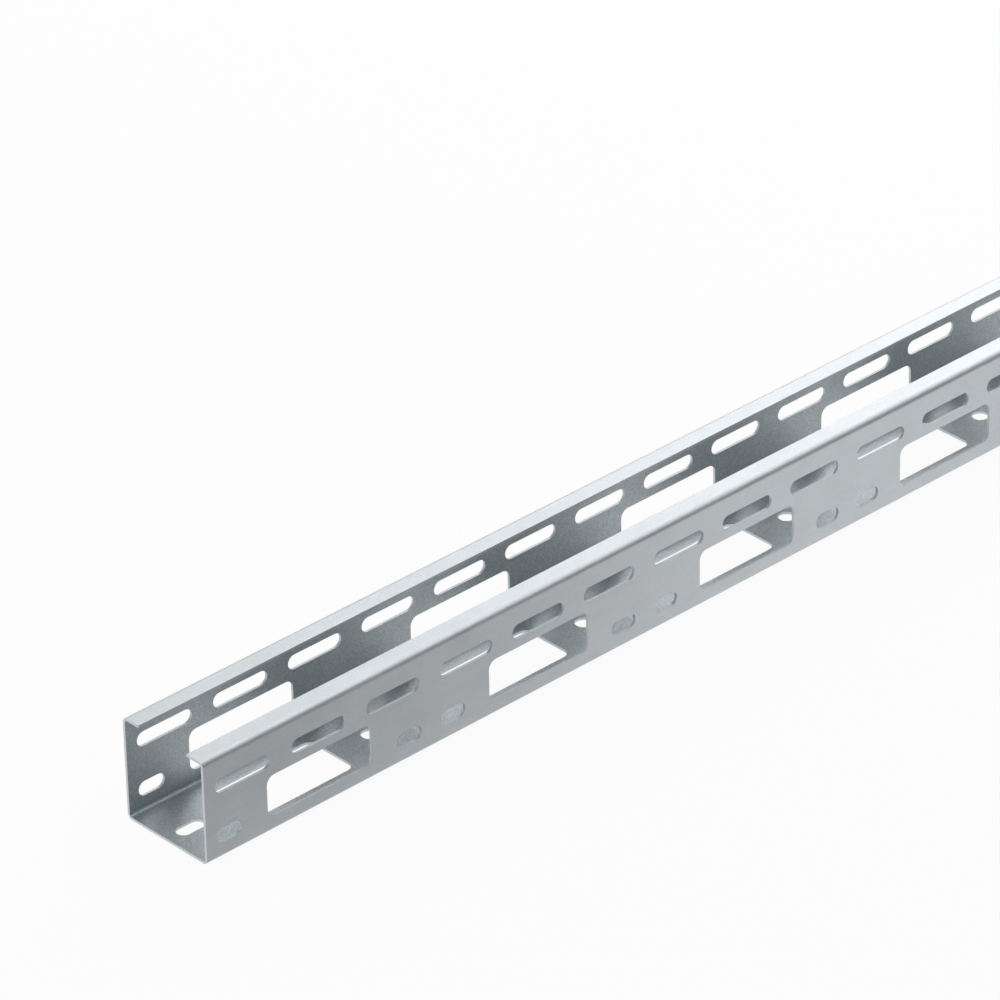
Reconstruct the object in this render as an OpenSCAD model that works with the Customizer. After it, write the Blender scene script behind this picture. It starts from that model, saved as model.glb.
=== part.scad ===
// Luminaire support rail
// Perforated open-top channel, folded from one strip of galvanised sheet steel.
// Millimetres, +Z up, lying on its base with the lips up.
// Origin at the centre of the underside, +X along the rail.

/* [Channel] */
// Overall length of the rail
rail_length = 3000; // [450:150:6000]
// Outside width over the two walls
rail_w = 60; // [50:1:100]
// Outside height from the underside to the top of the lips
rail_h = 60; // [56:1:100]
// Thickness of the sheet
sheet_t = 1.5; // [1:0.25:2]
// Width of each lip from the outside of its wall to its free edge
lip_w = 12; // [8:0.5:14]
// Inside radius of every bend
bend_r = 1.75; // [0.5:0.25:3]

/* [Wall slots] */
// Distance between the centres of neighbouring long slots
slot_pitch = 50; // [50:1:60]
// Long slots in one repeat of the pattern
slots_per_cell = 3; // [3:1:4]
// End-to-end length of a long slot
long_slot_l = 36; // [20:0.5:42]
// Height of the long slots' centre line above the underside
long_slot_z = 42.5; // [40:0.5:46]
// Width of every slot
slot_w = 8.5; // [6:0.5:9]
// End-to-end length of a short slot
short_slot_l = 17; // [12:0.5:20]
// Distance between the centres of the two short slots of a pair
pair_pitch = 30; // [26:1:40]
// Height of the short slots' centre line above the underside
short_slot_z = 13.5; // [10:0.5:20]

/* [Wall windows] */
// Length of a window in a wall
window_l = 69.5; // [40:0.5:76]
// Height of a window in a wall
window_h = 24; // [14:0.5:25]
// Height of the windows' centre line above the underside
window_z = 21; // [18:0.5:22]
// Corner radius of the windows in the walls and the base
window_r = 5; // [2:0.5:6]

/* [Base holes] */
// Length of a window in the base
base_window_l = 69.5; // [40:0.5:76]
// Width of a window in the base
base_window_w = 34; // [16:0.5:36]
// Diameter of a round hole in the base
base_hole_d = 9.5; // [6:0.5:10]
// Distance between the centres of a round hole in the base and the short slot after it
base_pair_pitch = 30; // [26:1:40]

/* [Hidden] */
// Length of one repeat of the hole pattern, and how many fit on the rail
cell_l = slot_pitch * slots_per_cell;
cells = floor(rail_length / cell_l);
// Outside radius of every bend
outer_r = bend_r + sheet_t;
// Clear width between the lips
mouth_w = rail_w - 2 * lip_w;
// How far each cut runs past the face that it starts or ends at
cut_over = 1;
$fn = 24;

// Rectangle with rounded corners about its centre
module rounded_rect(l, w, r) {
    square([l - 2 * r, w], center = true);
    square([l, w - 2 * r], center = true);
    for (x = [-1, 1], y = [-1, 1])
        translate([x * (l / 2 - r), y * (w / 2 - r)]) circle(r);
}

// Slot with round ends about its centre
module slot(l, w) {
    square([l - w, w], center = true);
    for (x = [-1, 1])
        translate([x * (l - w) / 2, 0]) circle(d = w);
}

// Cross-section of the folded strip: base, two walls and two inward lips
module section() {
    difference() {
        translate([0, rail_h / 2]) rounded_rect(rail_w, rail_h, outer_r);
        translate([0, rail_h / 2])
            rounded_rect(rail_w - 2 * sheet_t, rail_h - 2 * sheet_t, bend_r);
        translate([-mouth_w / 2, rail_h / 2]) square([mouth_w, rail_h]);
    }
}

// Centres of the repeats of the hole pattern
module at_cells() {
    for (i = [0 : cells - 1])
        translate([(i - (cells - 1) / 2) * cell_l, 0]) children();
}

// One repeat of the holes in a wall: long slots above a window and two short slots
module wall_holes() {
    for (i = [0 : slots_per_cell - 1])
        translate([(i - (slots_per_cell - 1) / 2) * slot_pitch, long_slot_z])
            slot(long_slot_l, slot_w);
    translate([0, window_z]) rounded_rect(window_l, window_h, window_r);
    for (x = [-1, 1])
        translate([x * (cell_l - pair_pitch) / 2, short_slot_z]) slot(short_slot_l, slot_w);
}

// One repeat of the holes in the base: a short slot, a window and a round hole
module base_holes() {
    translate([-(cell_l - base_pair_pitch) / 2, 0]) slot(short_slot_l, slot_w);
    rounded_rect(base_window_l, base_window_w, window_r);
    translate([(cell_l - base_pair_pitch) / 2, 0]) circle(d = base_hole_d);
}

// The rail: the folded strip with the holes punched through both walls and the base
module rail() {
    color("#9aa0a3")
    difference() {
        rotate([90, 0, 90])
            linear_extrude(rail_length, center = true) section();
        rotate([90, 0, 0])
            linear_extrude(rail_w + 2 * cut_over, center = true) at_cells() wall_holes();
        translate([0, 0, -cut_over])
            linear_extrude(sheet_t + 2 * cut_over) at_cells() base_holes();
    }
}

rail();
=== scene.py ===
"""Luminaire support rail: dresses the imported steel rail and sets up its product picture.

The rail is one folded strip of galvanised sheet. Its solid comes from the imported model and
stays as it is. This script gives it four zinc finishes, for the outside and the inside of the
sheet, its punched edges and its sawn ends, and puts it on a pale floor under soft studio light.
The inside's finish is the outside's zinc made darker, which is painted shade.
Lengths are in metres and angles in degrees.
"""

import logging  # noqa: E402
from dataclasses import dataclass  # noqa: E402
from enum import Enum  # noqa: E402
from math import cos, radians, sin  # noqa: E402

import bpy  # noqa: E402
from mathutils import Matrix, Vector  # noqa: E402


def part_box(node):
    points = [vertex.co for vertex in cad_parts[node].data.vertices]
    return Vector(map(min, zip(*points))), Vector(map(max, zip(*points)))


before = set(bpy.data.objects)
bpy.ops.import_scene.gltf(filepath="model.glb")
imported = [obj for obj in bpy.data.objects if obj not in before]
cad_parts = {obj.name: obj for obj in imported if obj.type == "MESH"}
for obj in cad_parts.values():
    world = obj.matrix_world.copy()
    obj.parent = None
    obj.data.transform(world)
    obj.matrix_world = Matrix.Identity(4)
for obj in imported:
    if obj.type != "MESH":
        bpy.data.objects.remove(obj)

LOG = logging.getLogger("support_rail")

Colour = tuple[float, float, float]
Point = tuple[float, float, float]

RAIL_MIDDLE: Point = (0.0, 0.0, 0.0)
PICTURED_MIDDLE: Point = (-1.2, 0.0, 0.0)

# Sockets of a Mix node that take the two colours and give the mixed one
MIX_FIRST, MIX_SECOND, MIX_RESULT = 6, 7, 2


class Slot(Enum):
    """Material slots of the rail's mesh, in their order."""

    OUTSIDE = 0
    INSIDE = 1
    PUNCHED = 2
    SAWN = 3


@dataclass
class Wiring:
    """Puts nodes into one node tree and joins them.

    Args:
        tree: The node tree.
    """

    tree: bpy.types.NodeTree

    def add(self, kind: str, **inputs: object) -> bpy.types.Node:
        """Adds a node and sets or joins its inputs.

        Args:
            kind: The node's type name.
            inputs: Constants or output sockets by input name, with _ for a space.

        Returns:
            The new node.
        """
        node = self.tree.nodes.new(kind)
        for name, value in inputs.items():
            self.feed(node, name.replace("_", " "), value)
        return node

    def feed(self, node: bpy.types.Node, name: str | int, value: object) -> None:
        """Sets an input to a constant, or joins it to an output.

        Args:
            node: The node that has the input.
            name: The input's name or number.
            value: A number, vector or colour, or the output socket that feeds the input.
        """
        taker = node.inputs[name]
        if isinstance(value, bpy.types.NodeSocket):
            self.tree.links.new(value, taker)
        else:
            taker.default_value = (*value, 1.0) if taker.type == "RGBA" else value

    def math(self, operation: str, *values: object) -> bpy.types.NodeSocket:
        """Adds a Math node.

        Args:
            operation: What it works out, such as MULTIPLY.
            values: Its inputs in their order, numbers or sockets.

        Returns:
            The result.
        """
        node = self.add("ShaderNodeMath")
        node.operation = operation
        for number, value in enumerate(values):
            self.feed(node, number, value)
        return node.outputs[0]

    def ramp(
        self,
        value: bpy.types.NodeSocket,
        low: float,
        high: float,
        to_low: float = 0.0,
        to_high: float = 1.0,
        smooth: bool = True,
    ) -> bpy.types.NodeSocket:
        """Maps a value from one range to another, clamped at both ends.

        Args:
            value: The value.
            low: Where the range starts.
            high: Where the range ends.
            to_low: The result at low.
            to_high: The result at high.
            smooth: Whether the ends ease in and out.

        Returns:
            The mapped value.
        """
        node = self.add(
            "ShaderNodeMapRange", Value=value, From_Min=low, From_Max=high, To_Min=to_low, To_Max=to_high
        )
        node.interpolation_type = "SMOOTHSTEP" if smooth else "LINEAR"
        return node.outputs["Result"]

    def blend(self, share: object, first: Colour, second: Colour) -> bpy.types.NodeSocket:
        """Mixes two colours.

        Args:
            share: How much of the second colour, 0 to 1.
            first: The colour at 0.
            second: The colour at 1.

        Returns:
            The mixed colour.
        """
        node = self.add("ShaderNodeMix")
        node.data_type = "RGBA"
        for number, value in ((0, share), (MIX_FIRST, first), (MIX_SECOND, second)):
            self.feed(node, number, value)
        return node.outputs[MIX_RESULT]

    def noise(self, place: object, width: float, detail: float, rough: float) -> bpy.types.NodeSocket:
        """Adds a noise texture.

        Args:
            place: The coordinates.
            width: The width of one feature.
            detail: How many finer layers it has.
            rough: How strong the finer layers are.

        Returns:
            The noise, about 0.
        """
        node = self.add(
            "ShaderNodeTexNoise", Vector=place, Scale=1.0 / width, Detail=detail, Roughness=rough
        )
        return self.math("SUBTRACT", node.outputs["Fac"], 0.5)


class Group:
    """A shader node group with named inputs and outputs, built once."""

    def __init__(self, name: str, inputs: dict[str, float], outputs: tuple[str, ...]) -> None:
        """Makes the empty group.

        Args:
            name: The group's name.
            inputs: Float inputs and their usual values.
            outputs: Names of the float outputs.
        """
        self.tree = bpy.data.node_groups.new(name, "ShaderNodeTree")
        face = self.tree.interface
        for key, value in inputs.items():
            made = face.new_socket(name=key, in_out="INPUT", socket_type="NodeSocketFloat")
            made.default_value = value
        for key in outputs:
            face.new_socket(name=key, in_out="OUTPUT", socket_type="NodeSocketFloat")
        self.wires = Wiring(self.tree)
        self.given = self.tree.nodes.new("NodeGroupInput").outputs
        self.result = self.tree.nodes.new("NodeGroupOutput")

    def put(self, wires: Wiring, **values: float) -> bpy.types.Node:
        """Places the group in a material.

        Args:
            wires: The material's wiring.
            values: Its inputs' values there.

        Returns:
            The group's node.
        """
        node = wires.add("ShaderNodeGroup")
        node.node_tree = self.tree
        for name, value in values.items():
            wires.feed(node, name, value)
        return node


class ZincGrain(Group):
    """Crystals, clouds and rolling streaks of a galvanised coat, the same all through the rail.

    The crystals are cells of one shade each with specks on them. The streaks are noise drawn out
    along the rail. The shares say how strongly each counts in the tone, and the sheens in the
    roughness. Tone and Height lie about 0.
    """

    CRYSTAL_WIDTH = 0.0007
    SPECK_WIDTH = 0.0004
    CLOUD_WIDTH = 0.030
    STREAK_WIDTH = 0.0022
    STREAK_SQUEEZE: Point = (0.06, 1.0, 1.0)
    CRYSTAL_SHARE = 0.35
    CLOUD_SHARE = 1.6
    STREAK_SHARE = 0.5
    CLOUD_SHEEN = 1.2
    CRYSTAL_SHEEN = 0.6

    def __init__(self) -> None:
        """Builds the group's nodes."""
        super().__init__("zinc_grain", {"Crystal": 1.0, "Cloud": 1.0}, ("Tone", "Sheen", "Height"))
        w = self.wires
        place = w.add("ShaderNodeTexCoord").outputs["Object"]
        cells = w.add("ShaderNodeTexVoronoi", Vector=place, Scale=1.0 / self.CRYSTAL_WIDTH)
        shades = w.add("ShaderNodeSeparateColor", Color=cells.outputs["Color"])
        crystal = w.math("SUBTRACT", shades.outputs["Red"], 0.5)
        specks = w.noise(place, self.SPECK_WIDTH, 2.0, 0.6)
        cloud = w.noise(place, self.CLOUD_WIDTH, 2.0, 0.5)
        along = w.add("ShaderNodeMapping", Vector=place, Scale=self.STREAK_SQUEEZE)
        streaks = w.noise(along.outputs["Vector"], self.STREAK_WIDTH, 2.0, 0.5)
        small = w.math("MULTIPLY_ADD", crystal, self.CRYSTAL_SHARE, specks)
        streaks = w.math("MULTIPLY", streaks, self.STREAK_SHARE)
        large = w.math("MULTIPLY_ADD", cloud, self.CLOUD_SHARE, streaks)
        tone = w.math("MULTIPLY", large, self.given["Cloud"])
        tone = w.math("MULTIPLY_ADD", small, self.given["Crystal"], tone)
        sheen = w.math("MULTIPLY", small, self.CRYSTAL_SHEEN)
        sheen = w.math("MULTIPLY_ADD", cloud, self.CLOUD_SHEEN, sheen)
        for name, value in (("Tone", tone), ("Sheen", sheen), ("Height", small)):
            w.feed(self.result, name, value)


@dataclass(frozen=True)
class ZincFinish:
    """A galvanised surface.

    Args:
        name: The material's name.
        dark: Colour where the coat is dullest.
        light: Colour where it is brightest.
        roughness: Mean roughness.
        roughness_swing: How far the roughness moves with the grain's sheen.
        crystal: Strength of the fine crystals.
        cloud: Strength of the soft clouds.
        relief: Height of the crystals.
        tone_reach: How far the tone goes from 0 before the colour stops changing.
        soft_edge: Radius that the light sees along sharp edges.
        edge_samples: How finely the soft edge is sampled.
    """

    name: str
    dark: Colour
    light: Colour
    roughness: float
    roughness_swing: float
    crystal: float
    cloud: float
    relief: float
    tone_reach: float = 0.5
    soft_edge: float = 0.0002
    edge_samples: int = 4

    def make(self, grain: ZincGrain) -> bpy.types.Material:
        """Builds the material.

        Args:
            grain: The shared grain of the coat.

        Returns:
            The material.
        """
        made = bpy.data.materials.new(self.name)
        made.use_nodes = True
        made.node_tree.nodes.clear()
        w = Wiring(made.node_tree)
        coat = grain.put(w, Crystal=self.crystal, Cloud=self.cloud)
        share = w.ramp(coat.outputs["Tone"], -self.tone_reach, self.tone_reach, smooth=False)
        edge = w.add("ShaderNodeBevel", Radius=self.soft_edge)
        edge.samples = self.edge_samples
        bump = w.add(
            "ShaderNodeBump",
            Strength=1.0,
            Distance=self.relief,
            Height=coat.outputs["Height"],
            Normal=edge.outputs["Normal"],
        )
        shader = w.add(
            "ShaderNodeBsdfPrincipled",
            Base_Color=w.blend(share, self.dark, self.light),
            Metallic=1.0,
            Roughness=w.math("MULTIPLY_ADD", coat.outputs["Sheen"], self.roughness_swing, self.roughness),
            Normal=bump.outputs["Normal"],
        )
        w.add("ShaderNodeOutputMaterial", Surface=shader.outputs[0])
        return made


@dataclass
class SupportRail:
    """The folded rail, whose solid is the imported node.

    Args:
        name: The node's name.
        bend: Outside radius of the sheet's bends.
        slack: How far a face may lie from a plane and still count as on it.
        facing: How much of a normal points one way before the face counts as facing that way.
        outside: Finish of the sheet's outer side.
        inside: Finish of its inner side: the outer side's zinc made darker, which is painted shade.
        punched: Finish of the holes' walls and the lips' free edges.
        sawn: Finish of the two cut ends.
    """

    name: str = "rail"
    bend: float = 0.00325
    slack: float = 0.00001
    facing: float = 0.5
    outside: ZincFinish = ZincFinish(
        name="galvanised_outside",
        dark=(0.431, 0.454, 0.473),
        light=(0.639, 0.673, 0.701),
        roughness=0.35,
        roughness_swing=0.12,
        crystal=0.39,
        cloud=0.35,
        relief=0.00013,
    )
    # The inner side has the same zinc coat as the outer side; its darker colours are painted shade.
    inside: ZincFinish = ZincFinish(
        name="galvanised_inside_painted_shade",
        dark=(0.394, 0.430, 0.446),
        light=(0.590, 0.646, 0.668),
        roughness=0.38,
        roughness_swing=0.12,
        crystal=2.1,
        cloud=0.35,
        relief=0.00016,
    )
    punched: ZincFinish = ZincFinish(
        name="galvanised_punched_edge",
        dark=(0.506, 0.532, 0.555),
        light=(0.750, 0.790, 0.822),
        roughness=0.60,
        roughness_swing=0.10,
        crystal=0.4,
        cloud=0.3,
        relief=0.00008,
    )
    sawn: ZincFinish = ZincFinish(
        name="galvanised_sawn_end",
        dark=(0.545, 0.573, 0.592),
        light=(0.755, 0.788, 0.806),
        roughness=0.50,
        roughness_swing=0.10,
        crystal=0.3,
        cloud=0.3,
        relief=0.00006,
    )

    def __post_init__(self) -> None:
        """Takes the rail's lowest and highest corners from the frame."""
        self.low, self.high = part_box(self.name)

    def slot(self, centre: Vector, normal: Vector) -> Slot:
        """Finds the material slot of a face.

        Args:
            centre: The face's centre.
            normal: The face's normal.

        Returns:
            SAWN for the two ends, PUNCHED for the walls of the holes and the free edges of
            the lips, and INSIDE or OUTSIDE for the sheet's two sides.
        """
        if abs(centre.x) > self.high.x - self.slack:
            return Slot.SAWN
        in_wall = self.bend < centre.z < self.high.z - self.bend
        in_flat = abs(centre.y) < self.high.y - self.bend - self.slack
        cut = abs(normal.y) < self.facing if in_wall else in_flat and abs(normal.z) < self.facing
        if cut or abs(normal.x) > self.facing:
            return Slot.PUNCHED
        to_middle = Vector((0.0, -centre.y, self.high.z / 2 - centre.z))
        return Slot.INSIDE if to_middle.dot(normal) > 0.0 else Slot.OUTSIDE

    def dress(self, grain: ZincGrain) -> None:
        """Gives the sheet's sides, the punched edges and the sawn ends their finishes.

        Args:
            grain: The shared grain of the coat.
        """
        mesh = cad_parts[self.name].data
        mesh.materials.clear()
        for finish in (self.outside, self.inside, self.punched, self.sawn):
            mesh.materials.append(finish.make(grain))
        slots = [self.slot(face.center, face.normal).value for face in mesh.polygons]
        mesh.polygons.foreach_set("material_index", slots)
        for kind in Slot:
            LOG.info("rail: %d faces %s", slots.count(kind.value), kind.name.lower())


@dataclass(frozen=True)
class Softbox:
    """A flat studio lamp that faces its target.

    Args:
        name: The lamp's name.
        watts: Its power.
        azimuth: Its direction from the target, turned from +X towards +Y.
        elevation: Its direction's height above the horizon.
        target: The point it faces.
        distance: How far it is from the target.
        size: Its width and height.
    """

    name: str
    watts: float
    azimuth: float
    elevation: float
    target: Point = PICTURED_MIDDLE
    distance: float = 2.4
    size: tuple[float, float] = (1.3, 1.3)

    def hang(self) -> None:
        """Makes the lamp, which the camera doesn't see."""
        lamp = bpy.data.lights.new(self.name, "AREA")
        lamp.shape = "RECTANGLE"
        lamp.size, lamp.size_y = self.size
        lamp.energy = self.watts
        made = bpy.data.objects.new(self.name, lamp)
        bpy.context.scene.collection.objects.link(made)
        turn, rise = radians(self.azimuth), radians(self.elevation)
        away = Vector((cos(turn) * cos(rise), sin(turn) * cos(rise), sin(rise)))
        made.location = Vector(self.target) + self.distance * away
        made.rotation_euler = away.to_track_quat("Z", "Y").to_euler()
        made.visible_camera = False


@dataclass
class Studio:
    """Pale floor, soft lamps and the camera of the product picture.

    Args:
        front: Y of the rail's front wall.
        floor_side: Side of the square floor.
        floor_drop: How far it lies below the rail.
        floor_colour: Its colour.
        seen_share: How much of the floor that the camera sees is plain white.
        shade_place: X and Y of the middle of the shade that gloss sees on the floor.
        shade_reach: Where the shade starts to fade and where it ends, from its middle.
        shade_level: The floor's brightness at those two.
        shade_blur: Half the width of the shade's edge below the rail's front wall.
        rear_level: The least brightness behind that edge.
        sky: Colour of the even light from all round.
        eye: The camera's place.
        pan: Its turn from +Y towards -X.
        tilt: Its turn up from straight down.
        roll: Its turn about its own view.
        lens: Its focal length in millimetres.
        sensor: Its sensor's width in millimetres.
        clip: The nearest and furthest distance that it sees.
        lamps: The lamps.
    """

    front: float
    floor_side: float = 60.0
    floor_drop: float = 0.0002
    floor_colour: Colour = (0.92, 0.92, 0.92)
    seen_share: float = 0.92
    shade_place: tuple[float, float] = (-1.521, -0.447)
    shade_reach: tuple[float, float] = (0.322, 0.629)
    shade_level: tuple[float, float] = (0.570, 0.965)
    shade_blur: float = 0.0004
    rear_level: float = 0.88
    sky: Colour = (0.12, 0.12, 0.12)
    eye: Point = (-3.217767, -2.109618, 1.831710)
    pan: float = -42.68444
    tilt: float = 58.89219
    roll: float = -1.14959
    lens: float = 238.478
    sensor: float = 36.0
    clip: tuple[float, float] = (0.1, 200.0)
    lamps: tuple[Softbox, ...] = (
        Softbox("top_panel", 27.0, 0.0, 90.0, RAIL_MIDDLE, size=(4.6, 1.3)),
        Softbox("front_panel", 7.2, -90.0, 35.0, RAIL_MIDDLE, distance=2.441, size=(4.6, 1.0)),
        Softbox("back_right", 13.0, 30.0, 22.0),
        Softbox("back_key", 5.6, 60.0, 22.0),
        Softbox("back_left", 2.8, 120.0, 22.0),
        Softbox("high_back", 7.5, 60.0, 55.0),
        Softbox("high_front", 5.4, -45.0, 55.0),
        Softbox("end_panel", 20.0, 180.0, 22.0),
    )

    def shade(self, w: Wiring) -> bpy.types.NodeSocket:
        """Wires how bright gloss sees the floor, dimmer in front of the rail's near end.

        Args:
            w: The floor material's wiring.

        Returns:
            The brightness, 0 to 1.
        """
        place = w.add("ShaderNodeTexCoord").outputs["Object"]
        away = w.add("ShaderNodeVectorMath")
        away.operation = "DISTANCE"
        w.feed(away, 0, place)
        w.feed(away, 1, (*self.shade_place, 0.0))
        level = w.ramp(away.outputs["Value"], *self.shade_reach, *self.shade_level)
        across = w.add("ShaderNodeSeparateXYZ", Vector=place).outputs["Y"]
        edge = (self.front - self.shade_blur, self.front + self.shade_blur)
        return w.math("MAXIMUM", level, w.ramp(across, *edge, 0.0, self.rear_level))

    def floor_finish(self) -> bpy.types.Material:
        """Builds the floor's material, which looks white and keeps the rail's shadow.

        Returns:
            The material.
        """
        made = bpy.data.materials.new("pale_floor")
        made.use_nodes = True
        made.node_tree.nodes.clear()
        w = Wiring(made.node_tree)
        rays = w.add("ShaderNodeLightPath").outputs
        seen = w.math("MAXIMUM", rays["Is Camera Ray"], rays["Is Transmission Ray"])
        share = w.math("MULTIPLY_ADD", seen, self.seen_share, rays["Is Glossy Ray"])
        glow = w.math("MULTIPLY_ADD", self.shade(w), rays["Is Glossy Ray"], seen)
        both = w.add("ShaderNodeMixShader", Fac=share)
        w.feed(both, 1, w.add("ShaderNodeBsdfDiffuse", Color=self.floor_colour).outputs[0])
        w.feed(both, 2, w.add("ShaderNodeEmission", Strength=glow).outputs[0])
        w.add("ShaderNodeOutputMaterial", Surface=both.outputs[0])
        return made

    def lay_floor(self) -> None:
        """Lays the floor just below the rail."""
        half, low = self.floor_side / 2, -self.floor_drop
        mesh = bpy.data.meshes.new("studio_floor")
        corners = [(-half, -half, low), (half, -half, low), (half, half, low), (-half, half, low)]
        mesh.from_pydata(corners, [], [(0, 1, 2, 3)])
        mesh.materials.append(self.floor_finish())
        floor = bpy.data.objects.new("studio_floor", mesh)
        bpy.context.scene.collection.objects.link(floor)
        LOG.info("floor: %.0f m square", self.floor_side)

    def light(self) -> None:
        """Sets the even sky and hangs the lamps."""
        world = bpy.data.worlds.new("studio")
        bpy.context.scene.world = world
        world.use_nodes = True
        Wiring(world.node_tree).feed(world.node_tree.nodes["Background"], "Color", self.sky)
        for lamp in self.lamps:
            lamp.hang()
            LOG.info("lamp: %s", lamp.name)

    def aim(self) -> None:
        """Sets up the camera as the photograph was taken."""
        data = bpy.data.cameras.new("camera")
        data.lens, data.sensor_width = self.lens, self.sensor
        data.clip_start, data.clip_end = self.clip
        made = bpy.data.objects.new("camera", data)
        bpy.context.scene.collection.objects.link(made)
        place = Matrix.Translation(self.eye)
        for angle, axis in ((self.pan, "Z"), (self.tilt, "X"), (self.roll, "Z")):
            place = place @ Matrix.Rotation(radians(angle), 4, axis)
        made.matrix_world = place
        bpy.context.scene.camera = made

    def build(self) -> None:
        """Builds the whole studio and sets how colours are shown."""
        self.lay_floor()
        self.light()
        self.aim()
        bpy.context.scene.view_settings.view_transform = "Standard"


def main() -> None:
    """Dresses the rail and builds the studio."""
    logging.basicConfig(level=logging.INFO, format="%(name)s %(message)s")
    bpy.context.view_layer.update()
    rail = SupportRail()
    rail.dress(ZincGrain())
    Studio(front=rail.low.y).build()


if __name__ == "__main__":
    main()
